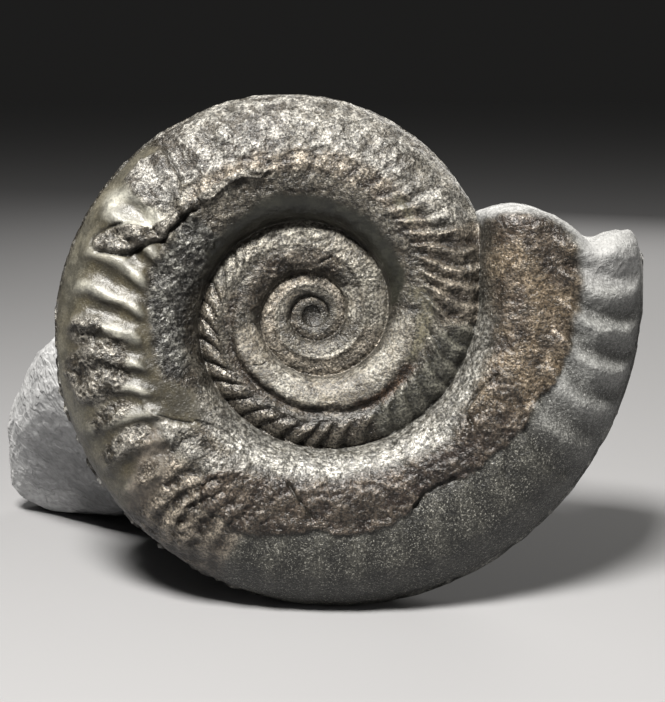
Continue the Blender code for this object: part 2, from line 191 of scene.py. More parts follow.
CALCITE = ((146, 0.40), (155, 0.37), (165, 0.37), (175, 0.33), (195, 0.28), (203, 0.27), (208, 0.18),
           (212, 0.12), (222, 0.14), (226, 0.22), (220, 0.30), (214, 0.38), (224, 0.45), (228, 0.60),
           (228, 0.85), (226, 0.97), (134, 0.97), (133, 0.87), (145, 0.87), (147, 0.60), (147, 0.50))
OLIVE_RIBS = ((-125, 0.52), (-118, 1.0), (-4, 1.0), (-6, 0.50), (-60, 0.48))
GLOSSY_RIBS = ((-196, 0.56), (-200, 1.05), (-60, 1.05), (-60, 0.50), (-100, 0.51), (-130, 0.55))
DARK_BROWN = ((214, 0.40), (226, 0.44), (236, 0.40), (248, 0.30), (252, 0.58), (250, 0.95), (226, 0.95))
CREAM_BAND = ((-172, 0.12), (-165, 0.33), (-140, 0.34), (-100, 0.36), (-60, 0.34), (-30, 0.30),
              (-12, 0.24), (2, 0.14), (-10, 0.03), (-60, 0.02), (-110, 0.02), (-160, 0.04))
CREAM_WALL = ((-365, 0.02), (-368, 0.30), (-350, 0.36), (-335, 0.33), (-322, 0.20), (-322, 0.02))
RUST = ((-66, 0.34), (-62, 0.48), (-48, 0.49), (-34, 0.46), (-26, 0.42), (-28, 0.35), (-45, 0.37))
TAN = (((-26, 0.30), (-25, 0.40), (-14, 0.42), (2, 0.42), (12, 0.36), (16, 0.22), (12, 0.16), (4, 0.26),
        (-10, 0.30)),
       ((42, 0.42), (45, 0.50), (52, 0.51), (58, 0.46), (54, 0.42)))
# The downward-facing wall at the top of the last whorl: smooth glossy stone whose near-black colour is
# painted shade
SHADED_WALL = ((4, 0.0), (10, 0.10), (22, 0.18), (45, 0.17), (60, 0.20), (90, 0.18), (105, 0.21), (120, 0.17),
             (140, 0.12), (152, 0.10), (156, 0.0))
BROWN_CREASES = (((20, 0.36), (36, 0.55), (55, 0.54), (75, 0.55), (100, 0.52), (130, 0.50), (140, 0.42),
                  (120, 0.36), (90, 0.36), (60, 0.34), (40, 0.32)),
                 ((-166, 0.39), (-160, 0.50), (-130, 0.53), (-100, 0.50), (-80, 0.50), (-62, 0.46),
                  (-62, 0.38), (-100, 0.37), (-140, 0.37)))
BROWN_FLANK = (((-4, 0.50), (-2, 0.95), (14, 1.0), (28, 1.0), (33, 0.70), (34, 0.45), (22, 0.36), (8, 0.38)),
               ((-200, 0.30), (-195, 0.50), (-170, 0.50), (-172, 0.34)),
               ((-300, 0.08), (-300, 0.34), (-250, 0.36), (-205, 0.34), (-180, 0.20), (-190, 0.05)))

# Cracks and steps on the shown flank: their line, half width and depth in millimetres; the sunken ones also
# get painted shade along their line
CRACKS = ((((131.6, 0.90), (132.2, 0.80), (133, 0.65), (134.8, 0.55)), 0.35, 0.9),
          (((163.6, 0.76), (162.2, 0.62), (161.6, 0.55), (158.6, 0.49), (156, 0.45), (153.5, 0.385),
            (146, 0.365), (138, 0.355)), 0.45, 1.1),
          (((163.4, 0.80), (161, 0.84), (157.6, 0.79), (154.4, 0.68)), 0.3, 0.5),
          (((222, 0.20), (224, 0.18), (229, 0.13), (236, 0.10)), 0.25, 0.6),
          (((211, 0.40), (214, 0.36), (218, 0.30), (222, 0.23)), 0.25, 0.5),
          (((325, 0.24), (328, 0.15), (333, 0.135), (338, 0.165), (342, 0.19)), 0.3, 0.8),
          (((325, 0.25), (329, 0.275), (332, 0.27)), 0.25, -0.4),
          (((298, 0.42), (302, 0.375), (307, 0.37), (311, 0.395)), 0.4, 0.9),
          (((262, 0.22), (266, 0.30), (270, 0.39)), 0.4, 0.8),
          (((347, 0.02), (349, 0.07), (351, 0.09)), 0.3, 0.5),
          (((-139.5, 0.28), (-136, 0.22), (-134, 0.14)), 0.2, 0.4),
          (((-288, 0.34), (-282, 0.26), (-279, 0.20)), 0.25, 0.5))

# Smooth hollows with a raised rim: place, half length in degrees, half height, rim height in millimetres
RINGED_HOLLOWS = ((150.3, 0.67, 4.0, 0.17, 0.35), (141.8, 0.62, 2.0, 0.085, 0.35))

# Unrolled flank: its radius as a share of the keel's, how ragged a patch's edge is, and the farthest
# distance that is measured, in millimetres
FLANK_RADIUS = 0.8
RAGGED = 1.3
RAGGED_SIZE = 3.0
FAR_OFF = 9.0

# Rock: halvings of its solid's faces, and the height and size of its lumps and creases in millimetres
ROCK_CUTS = 3
ROCK_LUMPS = (0.35, 6)
ROCK_CREASES = (0.18, 4)
ROCK_SINK = 0.12
ROCK_FOOT = (0.2, 2.0)

# In metres: room left inside the solids' box, above the ground, and between points that are joined
BOX_MARGIN = 0.00004
FOOT_MARGIN = 0.000003
JOIN_REACH = 0.000001

FLOOR_HALF = 4.0
FLOOR_DROP = 0.0001

# Area lights: name, place, what it points at, size and power
LIGHTS = (("key", (-0.10, -0.24, 0.50), (0, 0.01, 0.06), (0.16, 0.12), 11.0),
          ("fill", (0.40, -0.45, 0.20), (0, 0, 0.06), (0.5, 0.4), 0.5),
          ("back", (0.25, 0.60, 0.35), (0, 0.03, 0.05), (0.5, 0.4), 2.5))


def smooth_curve(x, xs, ys):
    """A smooth line through the points (xs, ys), with the slope at each from its neighbours."""
    xs, ys = np.asarray(xs, float), np.asarray(ys, float)
    slopes = np.gradient(ys, xs)
    x = np.clip(x, xs[0], xs[-1])
    i = np.clip(np.searchsorted(xs, x, side="right") - 1, 0, len(xs) - 2)
    width = xs[i + 1] - xs[i]
    u = (x - xs[i]) / width
    return (ys[i] * (1 + 2 * u) * (1 - u) ** 2 + slopes[i] * width * u * (1 - u) ** 2
            + ys[i + 1] * u * u * (3 - 2 * u) - slopes[i + 1] * width * u * u * (1 - u))


def through(x, pairs):
    return smooth_curve(x, [p[0] for p in pairs], [p[1] for p in pairs])


def fade(x, low, high):
    """0 below low, 1 above high, with a soft step between them."""
    u = np.clip((x - low) / (high - low), 0, 1)
    return u * u * (3 - 2 * u)


def lattice(i, j, k, seed):
    """A repeatable number from 0 to 1 for each whole-numbered place."""
    n = (i * 374761393 + j * 668265263 + k * 1274126177 + seed * 974634777) & 0xFFFFFFFF
    n = ((n ^ (n >> 13)) * 1103515245) & 0xFFFFFFFF
    n = ((n ^ (n >> 16)) * 2246822519) & 0xFFFFFFFF
    return ((n ^ (n >> 15)) & 0xFFFFFF) / float(0xFFFFFF)


def soft_noise(points, size, seed):
    """Smooth noise between -1 and 1 at each point; size is about one lump, in the points' unit."""
    place = np.asarray(points) / size + 4096
    cell = np.floor(place).astype(np.int64)
    u = place - cell
    u = u * u * (3 - 2 * u)
    total = 0
    for dx in (0, 1):
        for dy in (0, 1):
            for dz in (0, 1):
                weight = (np.abs(1 - dx - u[..., 0]) * np.abs(1 - dy - u[..., 1])
                          * np.abs(1 - dz - u[..., 2]))
                total = total + weight * lattice(cell[..., 0] + dx, cell[..., 1] + dy,
                                                 cell[..., 2] + dz, seed)
    return total * 2 - 1


NOISE_TURN = np.array(Euler((0.9, 0.5, 1.3)).to_matrix())


def layered_noise(points, size, seed, layers=3, gain=0.5):
    total, weight, reach = 0, 1.0, 0
    for layer in range(layers):
        points = points @ NOISE_TURN
        total = total + weight * soft_noise(points, size / 2 ** layer, seed + layer)
        reach += weight
        weight *= gain
    return total / reach


def creased_noise(points, size, seed, layers=3):
    """Noise with sharp ridges, 1 on a ridge and near 0 in the hollows."""
    total, weight, reach = 0, 1.0, 0
    for layer in range(layers):
        points = points @ NOISE_TURN
        ridge = 1 - np.abs(soft_noise(points, size / 2 ** layer, seed + layer)) * 2
        total = total + weight * np.clip(ridge, 0, 1) ** 1.5
        reach += weight
        weight *= 0.5
    return total / reach


def terraced(value, steps):
    """Turns a smooth value into flat flakes with steep edges."""
    scaled = value * steps
    level = np.floor(scaled)
    return (level + fade(scaled - level, 0.35, 0.65)) / steps


def keel_radius(t):
    angles = FIRST_ANGLE + 90 * np.arange(len(KEEL_RADII))
    return smooth_curve(t, angles, KEEL_RADII)


def seam_radius(t):
    climb = fade(t, CLIMB_START, LAST_ANGLE) * (1 - fade(t, LAST_ANGLE, LAST_ANGLE + CLIMB_BACK))
    ratio = SEAM_RATIO + (SEAM_RATIO_END - SEAM_RATIO) * climb
    return np.where(t < FIRST_ANGLE + TURN, FIRST_SEAM_RATIO * keel_radius(t), ratio * keel_radius(t - TURN))


def half_thickness(t):
    ratio = THICK_RATIO + (THICK_RATIO_LAST - THICK_RATIO) * fade(t, *THIN_ANGLES)
    return ratio * keel_radius(t)


def along_profile(shares, heights, rows):
    """The section through the given points, read at even steps of its own length."""
    flatness = 0.42
    run = np.hypot(np.diff(shares), np.diff(heights) * flatness)
    run = np.concatenate([[0], np.cumsum(run)])
    u = rows * run[-1]
    return smooth_curve(u, run, shares), smooth_curve(u, run, heights)


def whorl_section(t, v):
    """Share of the whorl's height and of its half thickness at row v: 0 the seam, 1 the cover, 2 the keel."""
    cover = (seam_radius(t + TURN) - seam_radius(t)) / (keel_radius(t) - seam_radius(t))
    cover = np.clip(cover, LOWEST_COVER, SEAM_RATIO_END)
    climbed = fade(cover, *CLIMB_COVER)
    flank_s, flank_h = along_profile(FLANK_ROWS, FLANK_SHAPE, np.clip(v, 0, 1))
    flank_s = flank_s / FLANK_ROWS[-1] * cover
    flank_h = flank_h * (1 - CLIMB_LOSS * climbed * fade(v, *CLIMB_ROWS))
    worn = 1 - fade(np.abs(t - WORN_ANGLE), *WORN_REACH)
    w = np.clip(v - 1, 0, 1)
    plain_s, keel_h = along_profile((FLANK_ROWS[-1],) + KEEL_ROWS, (FLANK_SHAPE[-1],) + KEEL_SHAPE, w)
    worn_s, _ = along_profile((FLANK_ROWS[-1],) + WORN_ROWS, (FLANK_SHAPE[-1],) + KEEL_SHAPE, w)
    keel_s = plain_s + (worn_s - plain_s) * worn
    keel_s = cover + (keel_s - FLANK_ROWS[-1]) / (1 - FLANK_ROWS[-1]) * (1 - cover)
    keel_h = keel_h * (1 - CLIMB_LOSS * climbed)
    return np.where(v <= 1, flank_s, keel_s), np.where(v <= 1, flank_h, keel_h)


def rib_wave(t, s):
    """1 on a rib's crest, 0 between two ribs; the ribs bend forward and are steeper on their later side."""
    middle = through(t, RIB_MIDDLE)
    bend = through(t, RIB_BEND) * ((s - middle) ** 2 - (RIB_MARK - middle) ** 2)
    number = through(t - bend, RIB_NUMBERS)
    lean = through(t, RIB_LEAN)
    turn = 2 * math.pi * number + lean
    wave = 0.5 + 0.5 * np.cos(turn - lean * np.cos(turn))
    to_keel = RIB_REACH + (RIB_REACH_LAST - RIB_REACH) * fade(t, *RIB_REACH_ANGLES)
    start = through(t, RIB_STARTS)
    wave = wave ** through(t, RIB_SHARPNESS) * fade(s, start, start + RIB_RISE)
    return wave * (1 - fade(s, to_keel, to_keel + RIB_FADE))


def coil_point(t, v, side):
    """Place on the coil before its fine relief, in millimetres about its middle, with its angle and share."""
    s, shape = whorl_section(t, v)
    end = through(s, END_EDGE)
    near_end = t > WARP_START
    t = np.where(near_end, WARP_START + (t - WARP_START) / (LAST_ANGLE - WARP_START) * (end - WARP_START), t)
    seam = seam_radius(t)
    r = seam + s * (keel_radius(t) - seam)
    a = np.radians(t)
    flat = np.stack([r * np.cos(a), side * SIDE_APART + 0 * r, r * np.sin(a)], axis=-1)
    wander = layered_noise(flat, WANDER_SIZE, 301, 3)
    wander_t = t + RIB_WANDER[0] * wander * np.clip(40 / r, 0.5, 3)
    wander_s = s + RIB_WANDER[1] * layered_noise(flat, WANDER_SIZE, 311, 3) * fade(s, 0.02, 0.1)
    wander_s = np.clip(wander_s, 0, 1)
    half = half_thickness(t)
    scale = np.clip(half / FULL_HALF_THICKNESS, SMALLEST_SCALE, 1.0)
    flank = fade(s, *FLANK_START) * (1 - fade(s, *FLANK_END))
    groove = np.exp(-((wander_s - GROOVE_PLACE) / GROOVE_WIDTH) ** 2)
    groove = groove * (1 - GROOVE_LOSS * fade(t, *GROOVE_FADE))
    groove = groove * fade(t, *GROOVE_START) * np.where(side < 0, through(t, GROOVE_DEEPER), 1)
    h = shape * half - GROOVE_DEPTH * scale * groove
    ribs = rib_wave(wander_t, wander_s)
    sunk = RIB_SINK * fade(s, *RIB_SINK_ROWS)
    uneven = 1 + RIB_UNEVEN * layered_noise(flat, RIB_UNEVEN_SIZE, 321, 2)
    h = h + through(t, RIB_HEIGHTS) * uneven * (ribs - sunk) * flank
    rim = np.radians(np.clip(end - t, 0, None)) * r
    rounding = np.sqrt(1 - (1 - np.clip(rim / END_ROUND, 0, 1)) ** 2)
    h = np.maximum(h * np.where(near_end, END_THIN + (1 - END_THIN) * rounding, 1), 0)
    return np.stack([r * np.cos(a), side * h, r * np.sin(a)], axis=-1), t, s, ribs


def stand(points):
    """From the coil's own millimetres to the frame's metres."""
    x, y, z = points[..., 0] * MM, points[..., 1] * MM, points[..., 2] * MM
    c, n = math.cos(LEAN), math.sin(LEAN)
    return np.stack([COIL_PLACE[0] + x, COIL_PLACE[1] + y * c + z * n,
                     COIL_PLACE[2] + z * c - y * n], axis=-1)


class Flank:
    """Measures distances on the unrolled flank, in millimetres, with edges made ragged by noise."""

    def __init__(self, points, t, s, front):
        self.t, self.s, self.front = t, s, front
        self.ragged_a = RAGGED * layered_noise(points, RAGGED_SIZE, 11, 4, 0.7)
        self.ragged_b = RAGGED * layered_noise(points, RAGGED_SIZE, 21, 4, 0.7)

    def scales(self, line):
        middle = (min(p[0] for p in line) + max(p[0] for p in line)) / 2
        height = float(keel_radius(middle) - seam_radius(np.array(middle)))
        return math.radians(1) * float(keel_radius(middle)) * FLANK_RADIUS, height

    def near(self, line, margin=6):
        low, high = min(p[0] for p in line) - margin, max(p[0] for p in line) + margin
        return np.nonzero(self.front & (self.t > low) & (self.t < high))[0]

    def inside(self, outline):
        """How far each point lies inside an outline; negative outside."""
        result = np.full(self.t.shape, -FAR_OFF)
        chosen = self.near(outline)
        kt, ks = self.scales(outline)
        x = self.t[chosen] * kt + self.ragged_a[chosen]
        y = self.s[chosen] * ks + self.ragged_b[chosen]
        corners = np.array(outline) * (kt, ks)
        far, within = np.full(x.shape, FAR_OFF), np.zeros(x.shape, bool)
        for (x0, y0), (x1, y1) in zip(corners, np.roll(corners, -1, axis=0)):
            far = np.minimum(far, distance_to(x, y, x0, y0, x1, y1))
            if y1 != y0:
                crosses = (y0 > y) != (y1 > y)
                within ^= crosses & (x < x0 + (y - y0) * (x1 - x0) / (y1 - y0))
        result[chosen] = np.where(within, far, -far)
        return result

    def patch(self, outline, soft=0.5):
        return fade(self.inside(outline), -soft, soft)

    def patches(self, outlines, soft=0.5):
        return np.maximum.reduce([self.patch(outline, soft) for outline in outlines])

    def line(self, line, half_width):
        """1 on a line, 0 away from it."""
        result = np.zeros(self.t.shape)
        chosen = self.near(line)
        kt, ks = self.scales(line)
        x = self.t[chosen] * kt + 0.5 * self.ragged_a[chosen]
        y = self.s[chosen] * ks + 0.5 * self.ragged_b[chosen]
        far = np.full(x.shape, FAR_OFF)
        for (t0, s0), (t1, s1) in zip(line[:-1], line[1:]):
            far = np.minimum(far, distance_to(x, y, t0 * kt, s0 * ks, t1 * kt, s1 * ks))
        result[chosen] = np.exp(-(far / half_width) ** 2)
        return result


def distance_to(x, y, x0, y0, x1, y1):
    dx, dy = x1 - x0, y1 - y0
    u = np.clip(((x - x0) * dx + (y - y0) * dy) / (dx * dx + dy * dy), 0, 1)
    return np.hypot(x - x0 - u * dx, y - y0 - u * dy)


def relief(points, t, s, v, side, ribs):
    """Height of the fine relief along the normal, in millimetres, and the masks that colour it."""
    front = (side < 0) & (v >= 0)
    flank = Flank(points, t, s, front)
    last = fade(t, 4, 12)
    scale = np.clip(half_thickness(t) / FULL_HALF_THICKNESS, 0.25, 1.0)
    back = np.where(front, 0, 1)
    mottle = layered_noise(points, 15, 31)

    near_end = fade(t, 338, 352)
    sheet_in = flank.inside(BROWN_SHEET) + 1.2 * near_end * layered_noise(points, 5, 171, 3)
    softness = 0.3 + 1.6 * (1 - fade(s, 0.24, 0.36)) + 1.3 * fade(t, 345, 365)
    sheet = fade(sheet_in / softness, -1.0, 1.0)
    tongue = flank.patch(TONGUE, 0.3)
    crust = np.maximum(flank.patch(TOP_CRUST, 0.6), back * last * fade(mottle, 0.05, 0.2))
    lump = flank.patch(PALE_LUMP, 0.6)
    ridge = flank.patch(LOW_RIDGE, 0.8)
    wrinkled = flank.patches(WRINKLED, 1.0)
    pitted = np.maximum(flank.patch(PITTED, 0.8), back * last * fade(-mottle, 0.3, 0.45))
    calcite = flank.patch(CALCITE, 0.8) * (1 - tongue) * (1 - lump) * (1 - wrinkled) * (1 - pitted)
    dark_brown = flank.patch(DARK_BROWN, 1.2) * (1 - sheet)
    satin = fade(t, 205, 245) * (1 - fade(t, 350, 368)) * (1 - fade(s, 0.16, 0.20)) * (1 - sheet)
    outer = fade(t, 238, 252) * (1 - sheet) * (1 - satin) * (1 - back * 0.4)
    edge_gap = through(s, END_EDGE) - t
    peak = fade(t - 5 * layered_noise(points, 9, 41), 358, 370) * fade(s, 0.53, 0.60)
    rim = (1 - fade(edge_gap - 2 * layered_noise(points, 4, 42, 4), 0.3, 3.6)) * (t > WARP_START)
    stone = np.maximum(peak, rim)
    mould = fade(t, 326, 344) * fade(s, 0.46, 0.52) * (1 - sheet)
    sheet = sheet * (1 - 0.8 * rim)
    cream = np.maximum(flank.patch(CREAM_BAND, 1.2), flank.patch(CREAM_WALL, 1.2))
    rust = flank.patch(RUST, 0.5)
    tan = flank.patches(TAN, 0.8)
    olive = flank.patch(OLIVE_RIBS, 1.0)
    glossy = flank.patch(GLOSSY_RIBS, 1.0)
    shaded_wall = flank.patch(SHADED_WALL, 1.0)
    creases = flank.patches(BROWN_CREASES, 1.2)
    whorls_within = fade(-t, 362, 380)
    dark_brown = np.maximum.reduce([dark_brown, flank.patches(BROWN_FLANK, 1.0) * 0.8,
                                    whorls_within * fade(s, 0.36, 0.5) * 0.8])
    shade = whorls_within * (1 - fade(s, 0.06, 0.24)) * fade(np.sin(np.radians(t)), -0.3, 0.5)
    shade = np.clip(shade + 0.7 * fade(-t, 640, 800), 0, 1)
    gilded = fade(t, 315, 345) * (1 - fade(t, 375, 388))
    gilded = gilded * (0.2 + 0.8 * fade(layered_noise(points, 6, 161, 4), -0.1, 0.3))
    cream = np.maximum(cream, 0.3 * whorls_within * fade(s, 0.05, 0.1) * (1 - fade(s, 0.34, 0.42)))

    arc = np.radians(t) * keel_radius(t) * FLANK_RADIUS
    height = s * (keel_radius(t) - seam_radius(t))
    unrolled = np.stack([arc / 3.5, height, np.zeros_like(arc)], axis=-1)
    warp = layered_noise(points, 3, 55, 2)[:, None]
    grain = layered_noise(points, 0.9, 51, 2)
    crumple = creased_noise(points + 0.8 * warp, 1.5, 61, 3) - 0.38
    streaks = creased_noise(unrolled, 1.7, 71, 3) - 0.38
    folds = creased_noise(points * (1, 1, 1.6) + 1.0 * warp, 2.6, 76, 3) - 0.38
    pits = creased_noise(points, 1.2, 91, 2) - 0.4
    flakes = terraced(layered_noise(points * (1, 1, 1.6) + 1.5 * warp, 3.2, 96, 4, 0.6), 6)
    long_flakes = terraced(layered_noise(unrolled + 0.8 * warp, 2.4, 98, 4, 0.6), 6)

    smooth = np.maximum.reduce([calcite, satin * 0.6, outer * 0.85, shaded_wall * 0.85,
                                cream * 0.6, tan * 0.6, olive * 0.3])
    rough = 1 - smooth
    weathered = np.maximum(scale, 0.5) * (1 + fade(t, -345, -325) * (1 - fade(t, -230, -205)))
    rough = rough * (1 - 0.5 * dark_brown * (t > 0)) * (1 - 0.6 * glossy)
    fine = rough * weathered * (0.24 * crumple + 0.50 * flakes + 0.09 * grain)
    fine = fine + crust * (0.12 * crumple + 0.08 * grain)
    fine = fine + creases * (0.30 * streaks + 0.4 * long_flakes) + pitted * 0.40 * pits
    fine = fine + wrinkled * (0.18 * folds + 0.35 * crumple + 0.40 * flakes + 0.10 * grain)
    fine = fine + ridge * (0.5 * folds + 0.4 * flakes) + tongue * (0.3 * folds + 0.3 * flakes)
    fine = fine + sheet * (1 - 0.5 * near_end) * (0.26 * pits + 0.14 * grain)
    fine = fine + satin * (0.10 * streaks + 0.30 * long_flakes)
    fine = fine + 0.05 * outer * grain + dark_brown * scale * (0.12 * crumple + 0.15 * flakes)
    fine = fine + cream * (0.10 * streaks + 0.25 * long_flakes) * scale
    fine = fine + stone * (0.32 * crumple + 0.15 * grain)
    fine = fine * (1 - 0.45 * near_end) + near_end * (1 - stone) * (0.08 * crumple + 0.14 * grain)
    fine = fine + shaded_wall * 0.12 * flakes
    d = 0.30 * scale * layered_noise(points, 7.0, 81, 3) + fine
    d = d + 0.55 * sheet * (1 - 0.75 * near_end) + 0.80 * tongue + 0.20 * crust + 0.3 * lump
    d = d + 0.30 * ridge + 0.12 * wrinkled
    # The sunken cracks and steps are also marked, to paint shade along them
    crack_shade = np.zeros_like(d)
    for line, half_width, depth in CRACKS:
        mark = flank.line(line, half_width)
        d = d - depth * mark
        crack_shade = np.maximum(crack_shade, mark * (depth > 0))
    ring = np.zeros_like(d)
    for ring_t, ring_s, half_long, half_high, rim_height in RINGED_HOLLOWS:
        away = np.hypot((t - ring_t) / half_long, (s - ring_s) / half_high)
        # ring marks the rims and insides of the hollows, which the material paints pale, with a painted
        # highlight on the rims
        ring = np.maximum(ring, (np.exp(-((away - 1) / 0.32) ** 2) + 0.3 * np.exp(-away ** 2 * 1.5)) * front)
        d = d + rim_height * np.exp(-((away - 1) / 0.28) ** 2) * front - 0.1 * np.exp(-away ** 2 * 2) * front
    seam_fade = fade(s, 0.01, 0.05)
    keel_fade = 1 - 0.75 * fade(v, 1.45, 1.95)
    d = d * seam_fade * keel_fade
    chips = layered_noise(points, 2.2, 101, 3)
    chipped = 0.25 + 0.75 * fade(t, 175, 190) * (1 - fade(t, 250, 262))
    beads = chipped * fade(chips, 0.1, 0.4) * fade(v, 1.75, 1.95)
    d = d - 0.7 * chipped * fade(-chips, 0.0, 0.4) * fade(v, 1.75, 1.95) + 0.5 * beads
    # crest: 1 on the rib crests and the ring rims; the material paints highlight on them and shade between
    # them
    masks = {"calcite": calcite, "sheet": sheet, "crust": np.maximum(crust, lump), "tongue": tongue,
             "pitted": pitted, "wrinkled": wrinkled, "ridge": ridge, "stone": stone, "mould": mould,
             "satin": satin, "outer": outer, "cream": cream, "rust": rust, "tan": tan,
             "olive": olive, "glossy": glossy, "shade": shade, "ring": np.clip(ring, 0, 1),
             "gilded": gilded, "shaded_wall": shaded_wall, "creases": creases, "dark_brown": dark_brown,
             "crest": np.maximum(ribs, ring), "fine": fine, "crack_shade": crack_shade, "beads": beads,
             "along": arc, "across": height,
             "sheet_edge": np.exp(-((sheet_in + 0.3) / 0.5) ** 2) * (1 - rim), "share": s}
    return d, masks


class FineCoil:
    """Vertices, faces and masks of the whole fossil, front and back."""

    def __init__(self):
        self.t, self.v, self.side = [], [], []
        self.count = 0
        self.faces = []
        self.keel = {}
        self.middles = []
        self.columns = {side: self.lay_side(side) for side in (-1, 1)}
        self.join_keel_and_centre()
        self.shape()
        self.close_end()

    def add(self, t, v, side):
        first = self.count
        self.t.append(np.full(len(v), float(t)))
        self.v.append(v)
        self.side.append(np.full(len(v), side))
        self.count += len(v)
        return np.arange(first, self.count)

    def lay_side(self, side):
        """Columns of vertices along the coil; each starts at the seam, on the whorl inside it."""
        step = FINE_STEP[side]
        per_turn = round(TURN / step)
        angles = FIRST_ANGLE + step * np.arange(round((LAST_ANGLE - FIRST_ANGLE) / step) + 1)
        columns = []
        for i, t in enumerate(angles):
            exposed = t > OPEN_ANGLE - step / 2
            rows = FINE_ROWS[side][min(int((t + step / 2 - FIRST_ANGLE) // TURN), 3)]
            v = np.arange(rows + 1) / rows
            if exposed:
                v = np.concatenate([v, 1 + np.arange(1, KEEL_FINE_ROWS[side] + 1) / KEEL_FINE_ROWS[side]])
            column = []
            if i >= per_turn:
                inner_rows = FINE_ROWS[side][min(int((t + step / 2 - TURN - FIRST_ANGLE) // TURN), 3)]
                column.append(columns[i - per_turn][inner_rows])
                v = v[1:]
            mark = round(float(t) * 10)
            if exposed and mark in self.keel:
                column.extend(self.add(t, v[:-1], side))
                column.append(self.keel[mark])
            else:
                column.extend(self.add(t, v, side))
                if exposed:
                    self.keel[mark] = column[-1]
            columns.append(column)
        for i in range(len(columns) - 1):
            opens = angles[i] < OPEN_ANGLE - step / 2 <= angles[i + 1]
            self.strip(columns[i], columns[i + 1][:FINE_ROWS[side][3] + 1] if opens else columns[i + 1], side)
        return columns

    def strip(self, a, b, side):
        """Faces between two chains of vertices that run the same way."""
        if len(a) == len(b):
            for k in range(len(a) - 1):
                quad = (a[k], b[k], b[k + 1], a[k + 1])
                self.faces.append(quad if side < 0 else quad[::-1])
            return
        for tri in chain_triangles(a, b):
            self.faces.append(tri if side < 0 else tri[::-1])

    def join_keel_and_centre(self):
        """Fills the slits along the keel between the front and the coarser back, and the first chamber."""
        front, back = (
            [column[-1] for column in columns[round((OPEN_ANGLE - FIRST_ANGLE) / FINE_STEP[side]):]]
            for side, columns in self.columns.items())
        shared = set(front) & set(back)
        cuts_front = [i for i, k in enumerate(front) if k in shared]
        cuts_back = [i for i, k in enumerate(back) if k in shared]
        for n in range(len(cuts_front) - 1):
            a = front[cuts_front[n]:cuts_front[n + 1] + 1]
            b = back[cuts_back[n]:cuts_back[n + 1] + 1]
            self.faces += [tri[::-1] for tri in chain_triangles(a, b) if len(set(tri)) == 3]
        for side, columns in self.columns.items():
            per_turn = round(TURN / FINE_STEP[side])
            ring = [columns[i][0] for i in range(per_turn)]
            ring += [columns[0][j] for j in range(FINE_ROWS[side][0], 0, -1)]
            middle = int(self.add(FIRST_ANGLE, np.array([-1.0]), side)[0])
            for a, b in zip(ring, ring[1:] + ring[:1]):
                tri = (a, middle, b)
                self.faces.append(tri if side < 0 else tri[::-1])
            self.middles.append((middle, ring))

    def shape(self):
        t, v, side = np.concatenate(self.t), np.concatenate(self.v), np.concatenate(self.side)
        flat_v = np.clip(v, 0, KEEL_ROW)
        base, warped, s, ribs = coil_point(t, flat_v, side)
        ahead = coil_point(t + STEP_ALONG, flat_v, side)[0]
        by_keel = flat_v > KEEL_ROW - STEP_ACROSS
        inner = np.where(by_keel, flat_v - STEP_ACROSS, flat_v + STEP_ACROSS)
        up = coil_point(t, inner, side)[0]
        up = np.where(by_keel[:, None], base + (base - up), up)
        normal = np.cross(ahead - base, up - base) * side[:, None]
        normal /= np.maximum(np.linalg.norm(normal, axis=1), 1e-12)[:, None]
        outward = base / np.maximum(np.linalg.norm(base, axis=1), 1e-9)[:, None]
        normal = np.where((v >= 1.999)[:, None], outward, normal)
        depth, self.masks = relief(base, warped, s, v, side, ribs)
        self.points = base + normal * depth[:, None]
        for middle, ring in self.middles:
            self.points[middle] = self.points[ring].mean(axis=0)

    def end_chain(self, j, arch):
        """Vertices across the broken end at one front row, from the front to the back."""
        front, back = self.columns[-1][-1], self.columns[1][-1]
        share = j / (len(front) - 1)
        k = round(share * (len(back) - 1))
        a, b = self.points[front[j]], self.points[back[k]]
        q = np.arange(1, END_ACROSS) / END_ACROSS
        base = a + (b - a) * q[:, None]
        arch_points = self.points[arch]
        spots = q * (len(arch) - 1)
        on_arch = np.stack([np.interp(spots, np.arange(len(arch)), line) for line in arch_points.T], axis=-1)
        chord = (arch_points[-1] - arch_points[0]) * q[:, None]
        bend = (on_arch - arch_points[0] - chord) * (1 - share) ** END_ARCH_FADE
        tilt = math.radians(OPEN_ANGLE)
        outward = np.array([-math.sin(tilt), 0, math.cos(tilt)])
        swell = np.sin(math.pi * q) ** END_SWELL_ACROSS * math.sin(math.pi * share ** END_SWELL_UP)
        rough = END_ROUGH * layered_noise(base, END_ROUGH_SIZE, 131, 4)
        made = base + bend + outward * (swell * (END_BULGE + rough))[:, None]
        first = len(self.points)
        self.points = np.vstack([self.points, made])
        for name, values in self.masks.items():
            fill = {"stone": 1.0, "share": share}.get(name, 0.0)
            self.masks[name] = np.concatenate([values, np.full(len(made), fill)])
        return [front[j]] + list(range(first, first + len(made))) + [back[k]]

    def close_end(self):
        """The broken end, from the keel of the whorl inside it out to its own keel."""
        arms = []
        for side in (-1, 1):
            columns = self.columns[side]
            arms.append(columns[len(columns) - 1 - round(TURN / FINE_STEP[side])][FINE_ROWS[side][3]:])
        arch = list(arms[0]) + list(arms[1][::-1][1:])
        previous = arch
        rows = len(self.columns[-1][-1])
        for j in range(1, rows - 1):
            chain = self.end_chain(j, arch)
            self.strip(previous, chain, 1)
            previous = chain
        tip = self.columns[-1][-1][-1]
        for k in range(len(previous) - 1):
            self.faces.append((previous[k], tip, previous[k + 1]))


def chain_triangles(a, b):
    """Triangles between two chains of vertices that run the same way."""
    made, i, j = [], 0, 0
    last_a, last_b = len(a) - 1, len(b) - 1
    while i < last_a or j < last_b:
        go_a = j == last_b or (i < last_a and (i + 1) / last_a <= (j + 1) / last_b)
        made.append((a[i], b[j], a[i + 1]) if go_a else (a[i], b[j], b[j + 1]))
        i, j = (i + 1, j) if go_a else (i, j + 1)
    return made


def fit_box(points, low, high):
    low, high = np.array(low) + BOX_MARGIN, np.array(high) - BOX_MARGIN
    low[2] = FOOT_MARGIN
    return np.clip(points, low, high)


